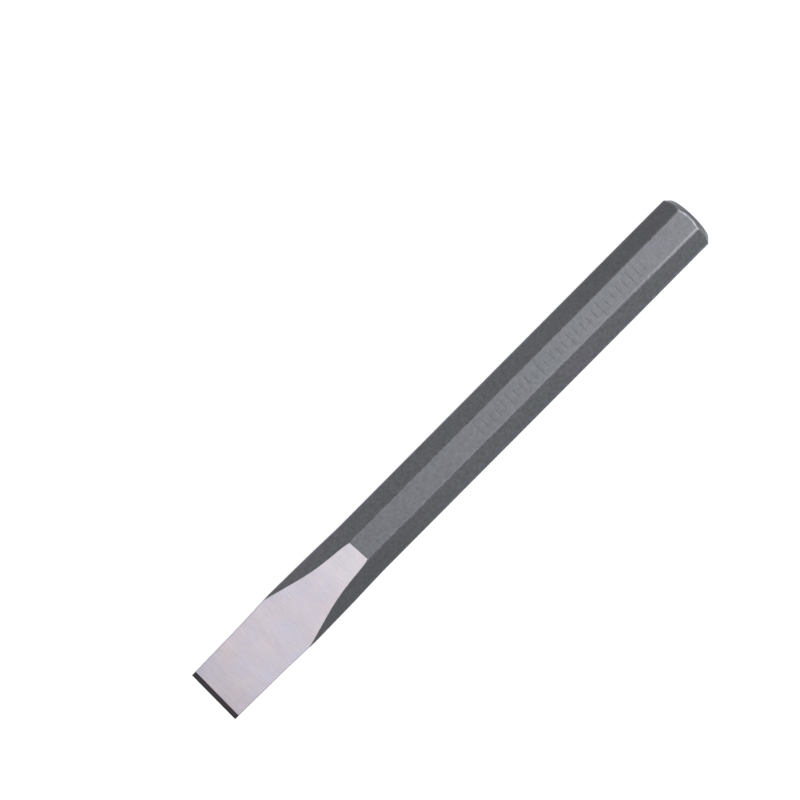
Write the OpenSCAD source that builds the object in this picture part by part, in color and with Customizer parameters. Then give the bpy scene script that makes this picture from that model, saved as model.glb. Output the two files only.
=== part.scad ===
// Octagon-shank cold chisel for cutting metal.
// It lies on one flat of its shank: +X runs from the cutting edge to the head, +Z is up, and the
// origin is under the middle of its length, on the surface that it lies on. Sizes are in millimetres.
// "Distance" always means the distance from the cutting edge.

/* [Bar] */
// Overall length, from the cutting edge to the striking face
overall_length = 200; // [150:1:300]
// Octagon bar across its flats, over the coat
across_flats = 18.5; // [17:0.5:22]
// Width of the narrow flat that breaks each corner of the octagon
corner_flat = 0.3; // [0.2:0.1:1]
// Thickness of the lacquer coat
coat_thickness = 0.05; // [0.03:0.01:0.2]

/* [Head] */
// Depth of the head's chamfer, measured across the bar at the middle of a flat
chamfer_depth = 1.45; // [0.8:0.05:3]
// Angle between the chamfer and the axis of the bar
chamfer_angle = 45; // [35:1:55]

/* [Cutting edge] */
// Included angle of the cutting edge
edge_angle = 60; // [50:1:75]
// Blade thickness where the two cutting bevels begin
bevel_thickness = 2; // [1.4:0.1:2.6]
// How much narrower the cutting edge is than the bar
edge_narrowing = 0.2; // [0:0.05:0.6]

/* [Ground cheeks] */
// Distance to the hollow, where the thin blade ends
hollow_distance = 30.5; // [29:0.5:32]
// Blade thickness at the hollow
hollow_thickness = 7.6; // [7.2:0.1:8]
// Radius of the hollow
hollow_radius = 50; // [20:1:50]
// Distance to the knee, where the shoulder begins
knee_distance = 48; // [47:0.5:51]
// Depth of each cheek below its flat at the knee
knee_depth = 1.05; // [0.8:0.05:1.4]
// Radius of the knee
knee_radius = 60; // [20:1:60]
// Distance to the shoulder, where the cheeks run out through the top and bottom flats
shoulder_distance = 62.1; // [60:0.1:66]

/* [Forged spread] */
// How much wider than the bar the blade is at its widest
widest_spread = 1.2; // [0.8:0.1:2]
// Distance to the widest place, where the ground sides end
widest_distance = 33.5; // [33:0.5:36]
// Share of the spread that is left where the sides turn towards the neck
turn_share = 0.62; // [0.5:0.02:0.8]
// Distance to that turn
turn_distance = 49; // [45:0.5:53]
// Distance to the neck, where the blade has the width of the bar
neck_distance = 62; // [58:0.5:68]
// How much wider than the bar the ground blade is at its waist
waist_spread = 0.34; // [0.1:0.02:0.5]
// Distance to the waist
waist_distance = 22; // [18:0.5:25]

/* [Hidden] */

$fn = 96;
facet_turn = 22.5;              // between an octagon flat and the corner flat beside it
arc_steps = 8;                  // straight steps in each arc of the cheeks
crest_length = 1.5;             // the forged blade keeps its full width this far past its ground sides
spread_lag = 1;                 // how much nearer the edge the spread starts on a flat that faces up
flat_radius = across_flats / 2; // from the bar's axis to a flat
corner_radius = flat_radius / cos(facet_turn) - corner_flat / 2 * tan(facet_turn);
edge_width = across_flats - edge_narrowing;
bevel_length = bevel_thickness / 2 / tan(edge_angle / 2);
reach = 2 * flat_radius;        // how far a cutting shape stands out past what it cuts

// The tool is worked out with its axis on X and its cutting edge at X = 0.
module in_place() {
    translate([-overall_length / 2, 0, flat_radius])
        children();
}

function unit(v) = v / norm(v);

function with_mirror_image(points) =
    concat(points, [for (i = [len(points) - 1 : -1 : 0]) [points[i].x, -points[i].y]]);

// The arc that rounds a corner of an outline, from the side of "before" to the side of "after".
function rounded(before, corner, after, radius) =
    let (
        to_before = unit(before - corner),
        to_after = unit(after - corner),
        half_turn = 90 - acos(to_before * to_after) / 2,
        centre = corner + unit(to_before + to_after) * radius / cos(half_turn),
        first = corner + to_before * radius * tan(half_turn) - centre,
        last = corner + to_after * radius * tan(half_turn) - centre,
        start = atan2(first.y, first.x),
        sweep = atan2(last.y, last.x) - start
    )
    [for (i = [0 : arc_steps])
        centre + radius * [cos(start + sweep * i / arc_steps), sin(start + sweep * i / arc_steps)]];

// Side view of everything that grinding the bevels and cheeks leaves standing.
module cheek_outline() {
    edge = [0, 0];
    bevel = [bevel_length, bevel_thickness / 2];
    hollow = [hollow_distance, hollow_thickness / 2];
    knee = [knee_distance, flat_radius - knee_depth];
    shoulder = [shoulder_distance, flat_radius];
    runout = knee + (shoulder - knee) * (reach - knee.y) / (shoulder.y - knee.y);
    rear = [max(runout.x, overall_length) + reach, reach];
    polygon(concat([edge], with_mirror_image(concat(
        [bevel],
        rounded(bevel, hollow, knee, hollow_radius),
        rounded(hollow, knee, shoulder, knee_radius),
        [runout, rear]
    ))));
}

// Top view of everything that grinding the blade's sides leaves standing.
module side_outline() {
    edge_corner = [0, edge_width / 2];
    waist = [waist_distance, (across_flats + waist_spread) / 2];
    widest = [widest_distance, (across_flats + widest_spread) / 2];
    front = edge_corner + (edge_corner - waist) * reach / waist.x;
    runout = waist + (widest - waist) * (reach - waist.y) / (widest.y - waist.y);
    rear = [max(runout.x, overall_length) + reach, reach];
    polygon(with_mirror_image([front, waist, runout, rear]));
}

module ground_envelope() {
    intersection() {
        rotate([90, 0, 0])
            linear_extrude(height = 4 * reach, center = true) cheek_outline();
        linear_extrude(height = 4 * reach, center = true) side_outline();
    }
}

// The room between two opposite flats of the forged blank, "radius" from its axis. Hammering the
// blade thin moved its sides apart. A flat that faces sideways stands out there by the whole spread,
// and one that slopes stands out by less, and begins to do so a little nearer the edge.
module flat_pair(angle, radius) {
    spread = abs(cos(angle)) * widest_spread / 2;
    lag = abs(sin(angle)) * spread_lag;
    rotate([angle, 0, 0])
        linear_extrude(height = 2 * reach, center = true)
            polygon(with_mirror_image([
                [-reach, radius + spread],
                [widest_distance + crest_length - lag, radius + spread],
                [turn_distance - lag, radius + spread * turn_share],
                [neck_distance - lag, radius],
                [overall_length + reach, radius]
            ]));
}

// The striking face and its chamfer, closed round the bar's axis.
module head_cone(inset) {
    face_x = overall_length - inset;
    face_radius = flat_radius - chamfer_depth - inset * tan(chamfer_angle / 2);
    cone_length = (reach - face_radius) / tan(chamfer_angle);
    rotate([0, 90, 0])
        rotate_extrude()
            polygon([
                [0, -reach],
                [reach, -reach],
                [reach, face_x - cone_length],
                [face_radius, face_x],
                [0, face_x]
            ]);
}

// The blank as it was before grinding, with every face moved in by "inset".
module blank(inset) {
    intersection() {
        intersection_for (i = [0 : 3]) flat_pair(2 * i * facet_turn, flat_radius - inset);
        intersection_for (i = [0 : 3]) flat_pair((2 * i + 1) * facet_turn, corner_radius - inset);
        head_cone(inset);
    }
}

// The bar of tool steel, one piece from the striking face to the cutting edge.
module steel_forging() {
    color("gainsboro")
        in_place()
            intersection() {
                blank(coat_thickness);
                ground_envelope();
            }
}

// The coat over head, shank and shoulders. Grinding took it off the cheeks and the blade's sides.
module lacquer_coat() {
    color("dimgray")
        in_place()
            intersection() {
                difference() {
                    blank(0);
                    blank(coat_thickness);
                }
                ground_envelope();
            }
}

steel_forging();
lacquer_coat();
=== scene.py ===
"""The looks of an octagon cold chisel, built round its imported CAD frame.

The chisel is worked out as cross-sections at a distance from its cutting edge, in millimetres, with
its axis at y = z = 0. The frame's own box gives the length, the width across flats and the coat's
thickness. Two skins are made from the same sections: one over the coat and one over the steel.
"""

import math

import bmesh
import bpy
import numpy as np
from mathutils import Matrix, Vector, noise


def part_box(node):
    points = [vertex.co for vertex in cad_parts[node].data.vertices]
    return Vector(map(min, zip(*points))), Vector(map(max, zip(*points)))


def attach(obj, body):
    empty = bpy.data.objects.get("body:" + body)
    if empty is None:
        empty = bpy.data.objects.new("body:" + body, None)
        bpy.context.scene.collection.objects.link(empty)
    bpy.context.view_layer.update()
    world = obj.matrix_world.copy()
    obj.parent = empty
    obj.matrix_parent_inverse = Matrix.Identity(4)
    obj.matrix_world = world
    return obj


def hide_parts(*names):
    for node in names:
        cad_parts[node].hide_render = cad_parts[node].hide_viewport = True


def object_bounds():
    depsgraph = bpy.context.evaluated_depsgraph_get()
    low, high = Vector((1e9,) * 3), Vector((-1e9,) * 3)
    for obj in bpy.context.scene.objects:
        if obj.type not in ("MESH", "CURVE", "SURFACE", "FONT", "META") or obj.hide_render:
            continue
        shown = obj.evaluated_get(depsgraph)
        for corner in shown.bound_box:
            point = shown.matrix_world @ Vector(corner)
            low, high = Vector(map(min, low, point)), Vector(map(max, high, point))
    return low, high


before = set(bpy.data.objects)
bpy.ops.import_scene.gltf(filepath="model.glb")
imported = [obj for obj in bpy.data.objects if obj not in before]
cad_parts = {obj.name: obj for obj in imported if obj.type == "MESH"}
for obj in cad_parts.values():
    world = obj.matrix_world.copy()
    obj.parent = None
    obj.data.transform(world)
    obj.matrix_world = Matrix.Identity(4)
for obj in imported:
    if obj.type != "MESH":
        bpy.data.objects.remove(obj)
cad_low, cad_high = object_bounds()

MM = 0.001
ROOT_HALF = math.sqrt(0.5)

# ------------------------------------------------------------------------- sizes from the frame
LENGTH = (cad_high.x - cad_low.x) / MM
FLAT = (cad_high.z - cad_low.z) / MM / 2  # from the axis to a flat of the octagon
WIDEST = (cad_high.y - cad_low.y) / MM / 2  # from the axis to the forged side at its widest
FILM = (cad_high.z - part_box("steel_forging")[1].z) / MM  # thickness of the coat

# ----------------------------------------------------- places along the blade, from its cutting edge
BEVEL_DISTANCE = 1.732  # where the two cutting bevels begin
WAIST_DISTANCE = 22.0  # where the ground sides turn further outwards
HOLLOW_DISTANCE = 30.5  # where the thin blade ends
WIDEST_DISTANCE = 33.5  # where the ground sides end
CREST_END = WIDEST_DISTANCE + 1.5  # the forged blade keeps its full width to here
KNEE_DISTANCE = 48.0  # where the shoulder begins
TURN_DISTANCE = 49.0  # where the forged sides turn towards the neck
NECK_DISTANCE = 62.0  # where the blade has the width of the bar
SHOULDER_DISTANCE = 62.1  # where the cheeks run out through the top and bottom flats

# --------------------------------------------------------------------- half sizes at those places
EDGE_HALF_THICKNESS = 0.03  # the cutting edge is this blunt
BEVEL_HALF_THICKNESS = 1.0
HOLLOW_HALF_THICKNESS = 3.8
KNEE_DEPTH = 1.05  # below the flat
EDGE_NARROWING = 0.1  # the cutting edge against the bar
WAIST_SPREAD = 0.17  # the waist against the bar
SPREAD = WIDEST - FLAT
TURN_SHARE = 0.62  # of the spread

# ---------------------------- outlines: distance from the edge, half size, and how far a bend reaches
BEVEL_BEND = 0.06
BEVEL_END = BEVEL_DISTANCE + BEVEL_BEND
CHEEK_OUTLINE = [
    (0, EDGE_HALF_THICKNESS, 0),
    (BEVEL_DISTANCE, BEVEL_HALF_THICKNESS, BEVEL_BEND),
    (HOLLOW_DISTANCE, HOLLOW_HALF_THICKNESS, 3.7),
    (KNEE_DISTANCE, FLAT - KNEE_DEPTH, 5.1),
    (SHOULDER_DISTANCE, FLAT, 0),
    (SHOULDER_DISTANCE + 20, FLAT + 1.5, 0),  # well outside the blank, where nothing is ground off
]
SIDE_OUTLINE = [
    (0, FLAT - EDGE_NARROWING, 0),
    (WAIST_DISTANCE, FLAT + WAIST_SPREAD, 3.0),
    (WIDEST_DISTANCE, WIDEST, 0),
    (WIDEST_DISTANCE + 30, WIDEST + 1.1, 0),  # likewise
]
SPREAD_OUTLINE = [
    (0, SPREAD, 0),
    (CREST_END, SPREAD, 1.0),
    (TURN_DISTANCE, TURN_SHARE * SPREAD, 1.5),
    (NECK_DISTANCE, 0, 1.5),
    (LENGTH, 0, 0),
]
BEND_POINTS = 9  # on each bend
SLOPE_LEAD = 0.7  # the sloping flats spread this much nearer the edge than the side flats

TONGUE_SWELL = 0.17  # the sloping flats stand out by this where the coat's pointed tongues end
TONGUE_DISTANCE = 30.5
TONGUE_REACH = 2.5  # the swell fades over this length on both sides

# ------------------------------------------------------------------------------- corners and edges
FACET_TURN = 45  # degrees from one flat of the octagon to the next
CORNER_RADIUS = 0.8  # rounding of the octagon's long corners
EDGE_BREAK = 0.08  # rounding of a ground edge
BREAK_FLAT = 0.05  # narrowest 45 degree flat on a ground edge
FULL_BREAK = 0.3  # a blade with less than this half thickness has smaller breaks
SUPPORT = 0.35  # from a corner to the column or ring that holds the flat's shading
SUPPORT_SHARE = 0.3  # but at most this share of a narrow flat
SHARP_ANGLE = 38  # faces that meet at more than this many degrees are shaded apart
TINY = 1e-9  # rounding error of a point in a section
TOLERANCE = 0.001  # rounding error of a distance from the edge

# ------------------------------------------------------------------------- where grinding left coat
THINNEST_FILM = 0.012  # the coat ends where grinding has left less than this
TONGUE_SEARCH = (26, 40)  # that place lies between these distances on the sides and slopes
SHOULDER_SEARCH = (50, 70)  # and between these on the top
SEARCH_STEP = 0.02
SHOULDER_SETBACK = 0.17  # on the top, the coat ends this much further back
SHOULDER_SKEW = 0.055  # the shoulder line moves this much along the bar for each mm across it
SKEW_REACH = 5.0  # the skew fades over this length on both sides

# ---------------------------------------------------- wear of the coat with painted highlight, from 0 to 1, and unevenness
CORNER_WEAR = 0.07  # on every long corner
HEAD_WEAR_AND_HIGHLIGHT_RIGHT = 0.45  # added at the head on the corners of the -Y half, more than on the +Y half as a painted highlight
HEAD_WEAR_LEFT = 0.1  # and on those of the +Y half
WEAR_REACH = 20.0  # the wear at the head fades over this length
CHAMFER_WEAR_AND_HIGHLIGHT_FLAT = 1.0  # where the chamfer meets the top and bottom flats and their corners: wear with a painted highlight
CHAMFER_WEAR_ELSEWHERE = 0.1
RIM_WEAR = 0.3  # round the striking face
WAVE_DEPTH = 0.03  # of the unevenness that forging left
WAVE_LENGTH = 9.0  # along the bar
WAVES_ACROSS = 1.6  # times as many waves across the bar as along it
WAVE_FADE = 6  # the waves grow from nothing at the edge to their full depth here

# ----------------------------------------------------------------------------------------- head
HEAD_START = LENGTH - 6.0  # the last ring that is a quarter section mirrored round the axis
HEAD_LEAD = 1.0  # the head's own rings begin this much before the chamfer
CHAMFER_DEPTH = 1.45
CHAMFER_ANGLE = 45
FACE_RADIUS = FLAT - CHAMFER_DEPTH
FILLET_REACH = 0.2  # of the rounding where the chamfer begins and where it ends
FILLET_POINTS = 4
CHAMFER_SHARES = (0.25, 0.75)  # rings on the chamfer, as shares of its width
FACE_SHARES = (0.92, 0.8, 0.6, 0.4, 0.2)  # rings on the face, as shares of its radius

# ------------------------------------------------------------ plain strokes stamped in the top flat
STROKES = 28
STROKE_START = 111.5
STROKE_PITCH = 2.5
STROKE_HALF_WIDTH = 0.13
STROKE_FLANK = 0.1  # from a stroke's floor up to the flat
STROKE_DEPTH = 0.07
LONG_STROKE_EVERY = 5

# ------------------------------------------------- rings, and the columns of a quarter section
RING_SPACINGS = ((1.0, 26, 1.5), (26, 64, 0.7), (64, HEAD_START, 2.5))  # from, to, step
CLOSEST_RINGS = 0.3  # one of these rings is left out if a feature's own ring is this near
BEVEL_SUPPORTS = (-0.2, 0.3)  # rings that hold the shading before and after the bevels' start
ARC_STEPS = 6  # columns on each corner's rounding, less one
SIDE_SHARES = (0, 0.5)  # of the half height that the support columns leave
SLOPE_SHARES = (0.35, 0.65)  # likewise, of a slope's width
TOP_SHARES = (0.62, 0.571, 0.333, 0.286, 0)  # likewise, of the top's half width
LONG_STROKE_COLUMN = 2  # a stroke is at its full depth this many columns inside the flat's border
SHORT_STROKE_COLUMN = 4


def bend(before, corner, after, reach, count):
    """Points of the curve that rounds a corner, from this reach before it to this reach after it."""
    start = corner + (before - corner) * reach / np.linalg.norm(before - corner)
    end = corner + (after - corner) * reach / np.linalg.norm(after - corner)
    steps = np.linspace(0, 1, count)
    return [(1 - t) ** 2 * start + 2 * t * (1 - t) * corner + t**2 * end for t in steps]


def rounded(outline):
    """The outline's half size as a function of the distance, with each bend rounded."""
    corners = [np.array([distance, size], float) for distance, size, _ in outline]
    line = []
    for i, (_, _, reach) in enumerate(outline):
        if reach:
            line += bend(corners[i - 1], corners[i], corners[i + 1], reach, BEND_POINTS)
        else:
            line.append(corners[i])
    line = np.array(line)
    return lambda s: float(np.interp(s, line[:, 0], line[:, 1]))


cheek_at = rounded(CHEEK_OUTLINE)
side_at = rounded(SIDE_OUTLINE)
spread_at = rounded(SPREAD_OUTLINE)


def facing(degrees):
    """Unit vector of (y, z) at this angle from +Y."""
    return np.array([math.cos(math.radians(degrees)), math.sin(math.radians(degrees))])


class Blank:
    """A quarter of the octagon before grinding, "inset" below the coat's surface.

    Everything is a further "edge_break" inside, which corner_points adds again on each corner.
    """

    def __init__(self, s, inset, edge_break):
        self.side = FLAT - inset + spread_at(s) - edge_break
        swell = TONGUE_SWELL * math.exp(-(((s - TONGUE_DISTANCE) / TONGUE_REACH) ** 2))
        self.slope = FLAT - inset + spread_at(s + SLOPE_LEAD) * ROOT_HALF + swell - edge_break
        top = FLAT - inset - edge_break
        self.radius = CORNER_RADIUS - inset - edge_break
        # The centres of the roundings at the slope's low and high ends.
        to_slope = (self.slope - self.radius) / ROOT_HALF
        self.low = np.array([self.side - self.radius, to_slope - (self.side - self.radius)])
        self.high = np.array([to_slope - (top - self.radius), top - self.radius])

    def width_at(self, z):
        """Half width of the blank at height z."""
        if z > self.high[1] + self.radius * ROOT_HALF:
            return self.high[0] + math.sqrt(max(self.radius**2 - (z - self.high[1]) ** 2, 0))
        if z > self.low[1] + self.radius * ROOT_HALF:
            return self.slope / ROOT_HALF - z
        if z > self.low[1]:
            return self.low[0] + math.sqrt(max(self.radius**2 - (z - self.low[1]) ** 2, 0))
        return self.side

    def height_at(self, y):
        """Half height of the blank at y, on its low corner or its slope."""
        if y > self.low[0] + self.radius * ROOT_HALF:
            return self.low[1] + math.sqrt(max(self.radius**2 - (y - self.low[0]) ** 2, 0))
        return self.slope / ROOT_HALF - y


def corner_points(s, inset):
    """Points of the two corners of a quarter section, from the side over the slope to the top.

    A point of the blank past a ground face is moved onto that face, and one past both of them onto
    the corner where they meet.
    """
    cheek, side = cheek_at(s), side_at(s)
    break_share = min(1, cheek / FULL_BREAK)
    edge_break = EDGE_BREAK * break_share
    blank = Blank(s, inset, edge_break)
    top_cut, side_cut = cheek - edge_break, side - edge_break
    ground_corner = np.array([side_cut, top_cut])
    corners = []
    for centre, first in ((blank.low, 0), (blank.high, FACET_TURN)):
        points = []
        for turn in np.linspace(first, first + FACET_TURN, ARC_STEPS + 1):
            p = centre + blank.radius * facing(turn)
            if p[1] > top_cut:
                p = np.array([blank.width_at(top_cut), top_cut])
            if p[0] > side_cut:
                p = np.array([side_cut, min(blank.height_at(side_cut), top_cut)])
            if p[0] > side_cut - TINY and p[1] > top_cut - TINY:
                p = ground_corner
            points.append(p + edge_break * facing(turn))
        corners.append(np.array(points))
    low, high = corners
    missing = BREAK_FLAT * break_share - np.linalg.norm(high[0] - low[-1])
    if missing > 0:
        low += np.array([1, -1]) * ROOT_HALF * missing / 2
        high += np.array([-1, 1]) * ROOT_HALF * missing / 2
        low[:, 0] = np.minimum(low[:, 0], side)
        high[:, 1] = np.minimum(high[:, 1], cheek)
    return low, high


def between(start, end, shares):
    """Points from start to end: a support point near each end, and the given shares between them."""
    gap = np.linalg.norm(end - start)
    hold = min(SUPPORT, SUPPORT_SHARE * gap) / gap
    steps = [hold] + [hold + (1 - 2 * hold) * share for share in shares] + [1 - hold]
    return [start + (end - start) * step for step in steps]


def quarter(s, inset):
    """A quarter section from the middle of the side to the middle of the top, both included."""
    low, high = corner_points(s, inset)
    rise = low[0][1]
    hold = min(SUPPORT, SUPPORT_SHARE * rise)
    side = [np.array([low[0][0], share * (rise - hold)]) for share in SIDE_SHARES]
    side.append(np.array([low[0][0], rise - hold]))
    half = high[-1][0]
    top = [np.array([half - SUPPORT, high[-1][1]])]
    top += [np.array([share * (half - SUPPORT), high[-1][1]]) for share in TOP_SHARES]
    return np.array(side + list(low) + between(low[-1], high[0], SLOPE_SHARES) + list(high) + top)


# -------------------------------------------------------------------- columns counted round a ring
LOW_CORNER = len(SIDE_SHARES) + 1
HIGH_CORNER = LOW_CORNER + ARC_STEPS + 1 + len(SLOPE_SHARES) + 2
TOP_FLAT = HIGH_CORNER + ARC_STEPS
LAST = TOP_FLAT + 1 + len(TOP_SHARES)
RING = 4 * LAST


def folded(column):
    """The column of the first quarter that this column of the ring mirrors."""
    place = column % (2 * LAST)
    return place if place <= LAST else 2 * LAST - place


def full_ring(points):
    """The ring of a quarter section: right round from +Y over +Z, -Y and -Z."""
    ring = []
    for column in range(RING):
        y, z = points[folded(column)]
        ring.append((-y if LAST < column < 3 * LAST else y, -z if column > 2 * LAST else z))
    return np.array(ring)


def column_turn(k):
    """Direction that a column of the first quarter faces, in degrees from +Y."""
    if k < LOW_CORNER:
        return 0
    if k <= LOW_CORNER + ARC_STEPS:
        return FACET_TURN * (k - LOW_CORNER) / ARC_STEPS
    if k < HIGH_CORNER:
        return FACET_TURN
    return min(2 * FACET_TURN, FACET_TURN + FACET_TURN * (k - HIGH_CORNER) / ARC_STEPS)


def on_corner(k):
    """Whether a column of the first quarter lies on one of the octagon's rounded corners."""
    return any(start <= k <= start + ARC_STEPS for start in (LOW_CORNER, HIGH_CORNER))


def corner_wear_and_highlight(s, column):
    """How far the coat is rubbed here: a little on every corner, and most near the head, where the -Y
    half gets more as a painted highlight.
    """
    if not on_corner(folded(column)):
        return 0.0
    near_head = math.exp(-(((LENGTH - s) / WEAR_REACH) ** 2))
    at_head = HEAD_WEAR_AND_HIGHLIGHT_RIGHT if LAST < column < 3 * LAST else HEAD_WEAR_LEFT
    return CORNER_WEAR + at_head * near_head


def film_start(columns, first, last):
    """The distance where the film over these columns is first thick enough to stay."""
    for s in np.arange(first, last, SEARCH_STEP):
        gaps = np.linalg.norm(quarter(s, 0)[columns] - quarter(s, FILM)[columns], axis=1)
        if gaps.min() > THINNEST_FILM:
            return round(float(s), 2)
    raise ValueError("the coat has no start over these columns")


COAT_ON_SLOPE = film_start(list(range(LOW_CORNER + ARC_STEPS, HIGH_CORNER + 1)), *TONGUE_SEARCH)
COAT_ON_SIDE = film_start([0, 1], *TONGUE_SEARCH)
COAT_ON_TOP = film_start([LAST - 1, LAST], *SHOULDER_SEARCH) + SHOULDER_SETBACK


def coat_start(column):
    """Distance from which this cell of the ring, between a column and the next, has its coat."""
    k = min(folded(column), folded((column + 1) % RING))
    if k < LOW_CORNER:
        return COAT_ON_SIDE
    if k < TOP_FLAT:
        return COAT_ON_SLOPE
    return COAT_ON_TOP


def stations():
    """Distances of the rings: closer on the blade and at the strokes, and exact at each feature."""
    exact = [0, BEVEL_DISTANCE - BEVEL_BEND, BEVEL_END]
    exact += [BEVEL_DISTANCE + offset for offset in BEVEL_SUPPORTS]
    exact += [WIDEST_DISTANCE, CREST_END, SHOULDER_DISTANCE, SHOULDER_DISTANCE + SUPPORT]
    exact += [COAT_ON_SLOPE, COAT_ON_SIDE, COAT_ON_TOP - SUPPORT, COAT_ON_TOP, HEAD_START]
    for i in range(STROKES):
        middle = STROKE_START + i * STROKE_PITCH
        for side in (-1, 1):
            exact.append(middle + side * STROKE_HALF_WIDTH)
            exact.append(middle + side * (STROKE_HALF_WIDTH + STROKE_FLANK))
    loose = [s for spacing in RING_SPACINGS for s in np.arange(*spacing)]
    kept = [s for s in loose if min(abs(s - e) for e in exact) > CLOSEST_RINGS]
    return sorted(exact + kept)


STATIONS = stations()


def stroke_depth(s, column):
    """Depth of the stamped strokes at a ring and a column, with 0 outside them."""
    number = round((s - STROKE_START) / STROKE_PITCH)
    middle = STROKE_START + number * STROKE_PITCH
    if not 0 <= number < STROKES or abs(s - middle) > STROKE_HALF_WIDTH + TOLERANCE:
        return 0.0
    first = LONG_STROKE_COLUMN if number % LONG_STROKE_EVERY == 0 else SHORT_STROKE_COLUMN
    return STROKE_DEPTH if TOP_FLAT + first <= column <= 2 * LAST - TOP_FLAT - first else 0.0


def waves(s, y, z):
    """How far the surface lies below its true place."""
    here = noise.noise(Vector((s, y * WAVES_ACROSS, z * WAVES_ACROSS)) / WAVE_LENGTH)
    return WAVE_DEPTH * (0.5 + 0.5 * here) * min(1, s / WAVE_FADE)


def skin(inset):
    """Rings of the surface at this inset, each RING x 3, and the wear with painted highlight and the
    stamp of each point.
    """
    rings, wear_and_highlight, stamp = [], [], []
    turns = [column_turn(folded(c)) for c in range(RING)]
    for s in STATIONS:
        depths = [stroke_depth(s, c) for c in range(RING)]
        skew = SHOULDER_SKEW * math.exp(-(((s - COAT_ON_TOP) / SKEW_REACH) ** 2))
        ring = []
        for turn, depth, (y, z) in zip(turns, depths, full_ring(quarter(s, inset))):
            out = facing(turn) * np.array([1 if y >= 0 else -1, 1 if z >= 0 else -1])
            ring.append((s - skew * y, *(np.array([y, z]) - out * (waves(s, y, z) + depth))))
        rings.append(ring)
        wear_and_highlight.append([corner_wear_and_highlight(s, c) for c in range(RING)])
        stamp.append([1.0 if depth else 0.0 for depth in depths])
    head, head_wear_and_highlight = head_rings(rings[-1], inset)
    rings += head
    wear_and_highlight += head_wear_and_highlight
    stamp += [[0.0] * RING for _ in head]
    return np.array(rings), np.array(wear_and_highlight), np.array(stamp)


def head_rings(last_ring, inset):
    """Rings over the chamfer and the striking face, and their wear, with a painted highlight where the
    chamfer meets the top and bottom flats.

    Each column follows its own line from the last ring to the middle of the face.
    """
    face_x = LENGTH - inset
    rim = np.array([face_x, FACE_RADIUS - inset * math.tan(math.radians(CHAMFER_ANGLE / 2))])
    middle = np.array([face_x, 0.0])
    lines = []
    for _, y, z in last_ring:
        reach = math.hypot(y, z)
        start = np.array([HEAD_START, reach])
        edge = np.array([face_x - (reach - rim[1]) / math.tan(math.radians(CHAMFER_ANGLE)), reach])
        line = [edge - np.array([HEAD_LEAD, 0]), edge - np.array([SUPPORT, 0])]
        line += bend(start, edge, rim, FILLET_REACH, FILLET_POINTS)
        line += [edge + (rim - edge) * share for share in CHAMFER_SHARES]
        line += bend(edge, rim, middle, FILLET_REACH, FILLET_POINTS)
        line += [np.array([face_x, rim[1] * share]) for share in FACE_SHARES]
        lines.append([(x, r * y / reach, r * z / reach) for x, r in line])
    rings = [[line[i] for line in lines] for i in range(len(lines[0]))]

    on_flat = [folded(c) >= HIGH_CORNER for c in range(RING)]
    wear_and_highlight = [[corner_wear_and_highlight(LENGTH, c) for c in range(RING)]] * 2
    # the chamfer's edge at the top and bottom flats is lighter: wear with a painted highlight
    wear_and_highlight += [[CHAMFER_WEAR_AND_HIGHLIGHT_FLAT if flat else CHAMFER_WEAR_ELSEWHERE for flat in on_flat]] * FILLET_POINTS
    wear_and_highlight += [[0.0] * RING] * len(CHAMFER_SHARES)
    wear_and_highlight += [[RIM_WEAR] * RING] * FILLET_POINTS
    wear_and_highlight += [[0.0] * RING] * len(FACE_SHARES)
    return rings, wear_and_highlight


def mesh_object(name, points, faces, layers, material):
    """A smooth-shaded object from points in millimetres, with one float layer for each named list.

    The points' X is the distance from the cutting edge, and their Z is 0 on the axis.
    """
    mesh = bpy.data.meshes.new(name)
    place = np.array(points) * MM + np.array([cad_low.x, 0, FLAT * MM])
    mesh.from_pydata(place.tolist(), [], faces)
    for layer, values in layers.items():
        attribute = mesh.attributes.new(layer, "FLOAT", "POINT")
        attribute.data.foreach_set("value", np.array(values, np.float32))
    work = bmesh.new()
    work.from_mesh(mesh)
    bmesh.ops.recalc_face_normals(work, faces=work.faces)
    work.to_mesh(mesh)
    work.free()
    mesh.shade_smooth()
    mesh.set_sharp_from_angle(angle=math.radians(SHARP_ANGLE))
    mesh.materials.append(material)
    piece = bpy.data.objects.new(name, mesh)
    bpy.context.scene.collection.objects.link(piece)
    weighted = piece.modifiers.new("flat_shading", "WEIGHTED_NORMAL")
    weighted.keep_sharp = True
    return piece


def cell(r, c):
    """The four points of the face between a ring and a column and the next ones."""
    n = (c + 1) % RING
    return r * RING + c, r * RING + n, (r + 1) * RING + n, (r + 1) * RING + c


def steel_body(material):
    """The whole bar under its coat, closed from the cutting edge to the striking face."""
    rings, _, _ = skin(FILM)
    rows = len(rings)
    points = rings.reshape(-1, 3).tolist() + [(0, 0, 0), (LENGTH - FILM, 0, 0)]
    front_middle, back_middle = len(points) - 2, len(points) - 1
    faces = [cell(r, c) for r in range(rows - 1) for c in range(RING)]
    last = (rows - 1) * RING
    for c in range(RING):
        n = (c + 1) % RING
        faces.append((n, c, front_middle))
        faces.append((last + c, last + n, back_middle))
    # Painted shade runs along the edges between the ground cheeks and the ground sides.
    edge_shade = np.zeros((rows, RING))
    edge_shade_columns = [c for c in range(RING) if LOW_CORNER <= folded(c) <= TOP_FLAT]
    edge_shade[: STATIONS.index(WIDEST_DISTANCE), edge_shade_columns] = 1.0
    bevel = np.zeros((rows, RING))
    bevel[: STATIONS.index(BEVEL_END)] = 1.0
    layers = {"edge_shade": list(edge_shade.ravel()) + [0.0, 0.0], "bevel": list(bevel.ravel()) + [1.0, 0.0]}
    return mesh_object("ground_steel_body", points, faces, layers, material)


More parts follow.
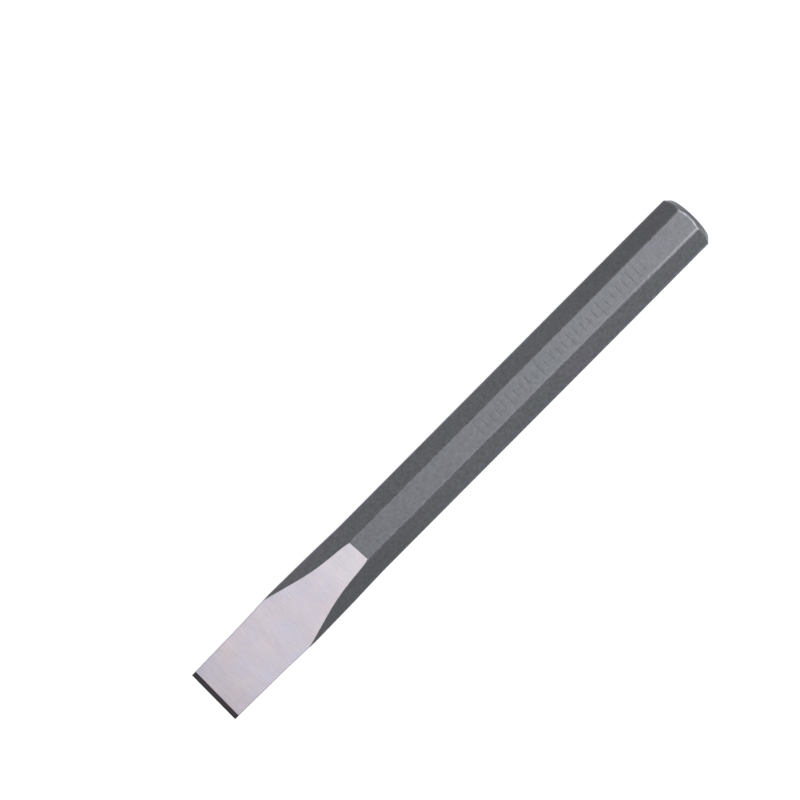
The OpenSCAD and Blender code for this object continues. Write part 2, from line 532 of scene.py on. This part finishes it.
def coat_shell(material):
    """The film as a closed shell: its outside, its inside, and the edges that grinding left."""
    outer, wear_and_highlight, stamp = skin(0)
    inner, _, _ = skin(FILM)
    rows = len(outer)
    count = rows * RING
    points = outer.reshape(-1, 3).tolist() + inner.reshape(-1, 3).tolist()
    points += [(LENGTH, 0, 0), (LENGTH - FILM, 0, 0)]
    starts = [coat_start(c) for c in range(RING)]

    def coated(r, c):
        """Whether the cell at this ring and column has its coat."""
        return r >= len(STATIONS) or STATIONS[r] > starts[c % RING] - TOLERANCE

    faces = []
    for r in range(rows - 1):
        for c in range(RING):
            if not coated(r, c):
                continue
            a, b, d, e = cell(r, c)
            faces.append((a, b, d, e))
            faces.append((count + e, count + d, count + b, count + a))
            if r == 0 or not coated(r - 1, c):
                faces.append((a, count + a, count + b, b))
            if not coated(r, c - 1):
                faces.append((e, count + e, count + a, a))
            if not coated(r, c + 1):
                faces.append((b, count + b, count + d, d))
    last = (rows - 1) * RING
    for c in range(RING):
        n = (c + 1) % RING
        faces.append((last + c, last + n, 2 * count))
        faces.append((count + last + n, count + last + c, 2 * count + 1))
    used = sorted({v for face in faces for v in face})
    number = {v: i for i, v in enumerate(used)}
    faces = [tuple(number[v] for v in face) for face in faces]
    layers = {}
    for layer, values in (("wear_and_highlight", wear_and_highlight), ("stamp", stamp)):
        both = list(values.ravel()) * 2 + [0.0, 0.0]
        layers[layer] = [both[v] for v in used]
    return mesh_object("grey_lacquer_coat", [points[v] for v in used], faces, layers, material)


# -------------------------------------------------- colours of the materials, and their strengths
TYPICAL_NOISE = (0.3, 0.7)  # the range that most of a noise texture's values fall in


def grey(value):
    """A colour with the same red, green and blue."""
    return (value, value, value)


# Each stop of a colour ramp is a place from 0 to 1 and the colour there.
LACQUER_TINTS = (
    (0.36, (0.07, 0.079, 0.084)),
    (0.5, (0.076, 0.079, 0.087)),
    (0.64, (0.081, 0.078, 0.092)),
)
LACQUER_SPECKLES = 0.34  # brightness of the darkest speckles against the lightest
LACQUER_ROUGHNESS = (0.36, 0.50)
LACQUER_SPECULAR = 0.89
STAMP_COLOR = (0.045, 0.05, 0.05)
STAMP_SHARE = 0.6
# Colour of the rubbed coat, which also paints a highlight on the corners and the chamfer near the head.
WEAR_AND_HIGHLIGHT_COLOR = (0.52, 0.52, 0.55)
WEAR_AND_HIGHLIGHT_SHARES = (0.35, 1.0)  # how patchy the wear and painted highlight are
# Painted shade: the coat is darker on two stretches of the sloping flats, where less light falls. For
# each: the Y range over the flat's corner and the X range along the flat, both in metres from the full
# brightness to the dark.
PAINTED_SHADE_STRETCHES = (
    ((0.003, 0.0045), (0.03, 0.085)),
    ((-0.003, -0.0045), (-0.005, -0.035)),
)
PAINTED_SHADE_BRIGHTNESS = 0.62  # brightness of the painted shade against the rest

STEEL_TINTS = (
    (0.36, (0.498, 0.465, 0.503)),
    (0.5, (0.518, 0.469, 0.489)),
    (0.64, (0.543, 0.479, 0.481)),
)
STEEL_PAINTED_LIGHT_REACH = 0.06  # metres from the cutting edge to the end of the painted light's ramp
# Painted light and shade along the blade: darker at the cutting edge and brightest on the steep part of
# the cheeks past the hollow.
STEEL_PAINTED_LIGHT = (
    (0.03, grey(0.8)),
    (0.25, grey(0.94)),
    (0.42, grey(0.94)),
    (0.64, grey(1.18)),
    (0.8, grey(1.07)),
    (0.92, (0.965, 0.99, 0.97)),
)
STEEL_LINES = 0.72  # brightness of the darkest grinding lines against the lightest
STEEL_ROUGHNESS = (0.40, 0.52)
BAND_COLOR = (0.52, 0.485, 0.53)
BAND_SHARE = 0.25
# A painted shade line along the rounded edges between the ground cheeks and the ground sides.
EDGE_SHADE_COLOR = grey(0.2)
EDGE_SHADE_SHARE = 0.5
BEVEL_COLOR = (0.082, 0.069, 0.072)

FLOOR_SHADES = ((0.3, grey(0.61)), (0.7, grey(0.63)))
FLOOR_GLOW = 0.64  # keeps the floor white round the object
FLOOR_ROUGHNESS = 0.9
FLOOR_SPECULAR = 0.1


# ------------------------------------------------------------------------------------ materials
class Nodes:
    """Short forms for building a material's node tree."""

    def __init__(self, name):
        self.material = bpy.data.materials.new(name)
        self.material.use_nodes = True
        self.tree = self.material.node_tree
        self.tree.nodes.clear()
        self.shader = self.add("ShaderNodeBsdfPrincipled")
        output = self.add("ShaderNodeOutputMaterial")
        self.link(self.shader.outputs[0], output.inputs[0])
        self.place = self.add("ShaderNodeTexCoord").outputs["Object"]

    def add(self, kind, **settings):
        node = self.tree.nodes.new(kind)
        for key, value in settings.items():
            setattr(node, key, value)
        return node

    def link(self, source, target):
        self.tree.links.new(source, target)

    def math(self, operation, first, second):
        """The operation's result on two values, each a number or a socket."""
        node = self.add("ShaderNodeMath", operation=operation)
        for socket, value in zip(node.inputs, (first, second)):
            if isinstance(value, (int, float)):
                socket.default_value = value
            else:
                self.link(value, socket)
        return node.outputs[0]

    def coordinate(self, axis):
        """The object's own X, Y or Z, in metres."""
        node = self.add("ShaderNodeSeparateXYZ")
        self.link(self.place, node.inputs[0])
        return node.outputs[axis]

    def stretched(self, x, y, z):
        """The object's own coordinates, with cells of x, y and z millimetres."""
        node = self.add("ShaderNodeMapping")
        node.inputs["Scale"].default_value = (1 / x / MM, 1 / y / MM, 1 / z / MM)
        self.link(self.place, node.inputs["Vector"])
        return node.outputs[0]

    def noise(self, cell, detail, roughness=0.55):
        """A noise texture with cells of this size in millimetres."""
        node = self.add("ShaderNodeTexNoise")
        node.inputs["Scale"].default_value = 1.0
        node.inputs["Detail"].default_value = detail
        node.inputs["Roughness"].default_value = roughness
        self.link(self.stretched(*cell), node.inputs["Vector"])
        return node.outputs["Fac"]

    def spread(self, value, target, source=TYPICAL_NOISE):
        """The value, with the source range mapped to the target range."""
        node = self.add("ShaderNodeMapRange")
        for socket, number in zip(("From Min", "From Max", "To Min", "To Max"), (*source, *target)):
            node.inputs[socket].default_value = number
        self.link(value, node.inputs["Value"])
        return node.outputs[0]

    def ramp(self, value, stops):
        """The colour that the stops give for the value."""
        node = self.add("ShaderNodeValToRGB")
        elements = node.color_ramp.elements
        while len(elements) < len(stops):
            elements.new(1.0)
        for element, (position, color) in zip(elements, stops):
            element.position = position
            element.color = (*color, 1)
        self.link(value, node.inputs[0])
        return node.outputs[0]

    def mix(self, share, first, second, blend="MIX"):
        """The first colour, and its blend with the second where the share is 1."""
        node = self.add("ShaderNodeMix", data_type="RGBA", blend_type=blend)
        sockets = (node.inputs[0], node.inputs[6], node.inputs[7])  # the share and the two colours
        for socket, value in zip(sockets, (share, first, second)):
            if isinstance(value, (int, float)):
                socket.default_value = value
            elif isinstance(value, tuple):
                socket.default_value = (*value, 1)
            else:
                self.link(value, socket)
        return node.outputs[2]

    def dimmed(self, color, brightness):
        """The colour times a brightness."""
        return self.mix(1.0, color, grey(brightness), "MULTIPLY")

    def layer(self, name):
        """The values that mesh_object was given under this name."""
        return self.add("ShaderNodeAttribute", attribute_name=name).outputs["Fac"]

    def bump(self, height, strength, distance, under=None):
        """The normal of a surface raised by up to this distance in millimetres, on the one under it."""
        node = self.add("ShaderNodeBump")
        node.inputs["Strength"].default_value = strength
        node.inputs["Distance"].default_value = distance * MM
        self.link(height, node.inputs["Height"])
        if under is not None:
            self.link(under, node.inputs["Normal"])
        return node.outputs[0]


def grey_lacquer():
    """Thin satin lacquer: mottled, tinted in clouds, dark in the strokes, rubbed on the corners with a
    painted highlight near the head, and with painted shade on two stretches of the sloping flats.
    """
    n = Nodes("grey_lacquer")
    mottle = n.noise((1.0, 1.0, 1.0), detail=4.0, roughness=0.65)
    cloud = n.noise((26, 10, 10), detail=2.0)
    grain = n.noise((0.22, 0.22, 0.22), detail=2.0, roughness=0.6)
    tint = n.ramp(cloud, LACQUER_TINTS)
    speckled = n.mix(n.spread(mottle, (0.0, 1.0)), n.dimmed(tint, LACQUER_SPECKLES), tint)
    # painted shade on two stretches of the sloping flats
    painted_shade = 0.0
    for across, along in PAINTED_SHADE_STRETCHES:
        on_flat = n.spread(n.coordinate("Y"), (0.0, 1.0), across)
        in_painted_shade = n.math("MULTIPLY", on_flat, n.spread(n.coordinate("X"), (0.0, 1.0), along))
        painted_shade = n.math("ADD", painted_shade, in_painted_shade)
    with_painted_shade = n.mix(painted_shade, speckled, n.dimmed(speckled, PAINTED_SHADE_BRIGHTNESS))
    stamped = n.mix(n.math("MULTIPLY", n.layer("stamp"), STAMP_SHARE), with_painted_shade, STAMP_COLOR)
    # lighter where the coat is rubbed, with a painted highlight near the head
    wear_and_highlight_share = n.math("MULTIPLY", n.layer("wear_and_highlight"), n.spread(mottle, WEAR_AND_HIGHLIGHT_SHARES))
    n.link(n.mix(wear_and_highlight_share, stamped, WEAR_AND_HIGHLIGHT_COLOR), n.shader.inputs["Base Color"])
    n.link(n.spread(grain, LACQUER_ROUGHNESS), n.shader.inputs["Roughness"])
    n.shader.inputs["Specular IOR Level"].default_value = LACQUER_SPECULAR
    coarse = n.bump(mottle, strength=0.35, distance=0.03)
    fine = n.bump(grain, strength=0.35, distance=0.012, under=coarse)
    n.link(fine, n.shader.inputs["Normal"])
    return n.material


def ground_steel():
    """Bare steel with lines and broad bands ground across the blade, painted light and shade along it, a
    painted shade line on its ground edges, and dark cutting bevels.
    """
    n = Nodes("ground_steel")
    lines = n.noise((0.16, 3.6, 3.6), detail=3.0, roughness=0.6)
    broad = n.noise((0.6, 8, 8), detail=2.0, roughness=0.5)
    cloud = n.noise((9, 5, 5), detail=2.0)
    blade = (cad_low.x, cad_low.x + STEEL_PAINTED_LIGHT_REACH)
    # painted light and shade along the blade
    painted_light = n.ramp(n.spread(n.coordinate("X"), (0.0, 1.0), blade), STEEL_PAINTED_LIGHT)
    toned = n.mix(1.0, n.ramp(cloud, STEEL_TINTS), painted_light, "MULTIPLY")
    scratched = n.mix(n.spread(lines, (0.0, 1.0)), n.dimmed(toned, STEEL_LINES), toned)
    banded = n.mix(n.spread(broad, (0.0, BAND_SHARE)), scratched, BAND_COLOR)
    # painted shade along the ground edges
    with_edge_shade = n.mix(n.math("MULTIPLY", n.layer("edge_shade"), EDGE_SHADE_SHARE), banded, EDGE_SHADE_COLOR)
    n.link(n.mix(n.layer("bevel"), with_edge_shade, BEVEL_COLOR), n.shader.inputs["Base Color"])
    n.link(n.spread(lines, STEEL_ROUGHNESS), n.shader.inputs["Roughness"])
    n.shader.inputs["Metallic"].default_value = 1.0
    coarse = n.bump(broad, strength=0.25, distance=0.02)
    fine = n.bump(lines, strength=0.35, distance=0.005, under=coarse)
    n.link(fine, n.shader.inputs["Normal"])
    return n.material


def pale_floor():
    """Plain white paper."""
    n = Nodes("pale_floor")
    paper = n.noise((30, 30, 30), detail=3.0)
    n.link(n.ramp(paper, FLOOR_SHADES), n.shader.inputs["Base Color"])
    n.shader.inputs["Emission Color"].default_value = (1, 1, 1, 1)
    n.shader.inputs["Emission Strength"].default_value = FLOOR_GLOW
    n.shader.inputs["Roughness"].default_value = FLOOR_ROUGHNESS
    n.shader.inputs["Specular IOR Level"].default_value = FLOOR_SPECULAR
    return n.material


# --------------------------------------------------------------------------------------- studio
CAMERA_PLACE = (0.001, -0.005, FLAT * MM + 0.5)  # metres
CAMERA_TURN = (2.3, 2.234, -45.11)  # degrees
CAMERA_LENS = 75.8
SENSOR_WIDTH = 36
CLIP_START = 0.01

FLOOR_SIZE = 14.0  # metres
# A panel's place in metres, its size in metres and its power in watts. All of them face down.
PANELS = {
    "ceiling_panel": ((-0.1, 0, 1.1), (3.2, 1.1), 16.3),
    "head_panel": ((0.28, -0.21, 1.0), (0.35, 0.5), 3.9),
    "side_panel": ((0.2, -0.3, 0.25), (0.12, 0.12), 0.3),
}
LIGHT_COLOR = (0.97, 1.0, 1.07)
WORLD_COLOR = (1.0, 0.96, 0.98)
WORLD_STRENGTH = 0.22


def studio():
    """The camera, the lights and the floor."""
    scene = bpy.context.scene
    camera = bpy.data.objects.new("camera", bpy.data.cameras.new("camera"))
    camera.location = CAMERA_PLACE
    camera.rotation_euler = [math.radians(turn) for turn in CAMERA_TURN]
    camera.data.lens = CAMERA_LENS
    camera.data.sensor_width = SENSOR_WIDTH
    camera.data.clip_start = CLIP_START
    scene.collection.objects.link(camera)
    scene.camera = camera

    for name, (place, size, power) in PANELS.items():
        panel = bpy.data.objects.new(name, bpy.data.lights.new(name, "AREA"))
        panel.location = place
        panel.data.shape = "RECTANGLE"
        panel.data.size, panel.data.size_y = size
        panel.data.energy = power
        panel.data.color = LIGHT_COLOR
        scene.collection.objects.link(panel)

    world = bpy.data.worlds.new("studio")
    world.use_nodes = True
    background = world.node_tree.nodes["Background"]
    background.inputs["Color"].default_value = (*WORLD_COLOR, 1)
    background.inputs["Strength"].default_value = WORLD_STRENGTH
    scene.world = world
    scene.view_settings.view_transform = "Standard"

    half = FLOOR_SIZE / 2
    corners = [(-half, -half, 0), (half, -half, 0), (half, half, 0), (-half, half, 0)]
    mesh = bpy.data.meshes.new("floor")
    mesh.from_pydata(corners, [], [(0, 1, 2, 3)])
    mesh.materials.append(pale_floor())
    floor = bpy.data.objects.new("floor", mesh)
    scene.collection.objects.link(floor)


studio()

steel = steel_body(ground_steel())
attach(steel, "root")
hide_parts("steel_forging")

coat = coat_shell(grey_lacquer())
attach(coat, "root")
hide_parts("lacquer_coat")
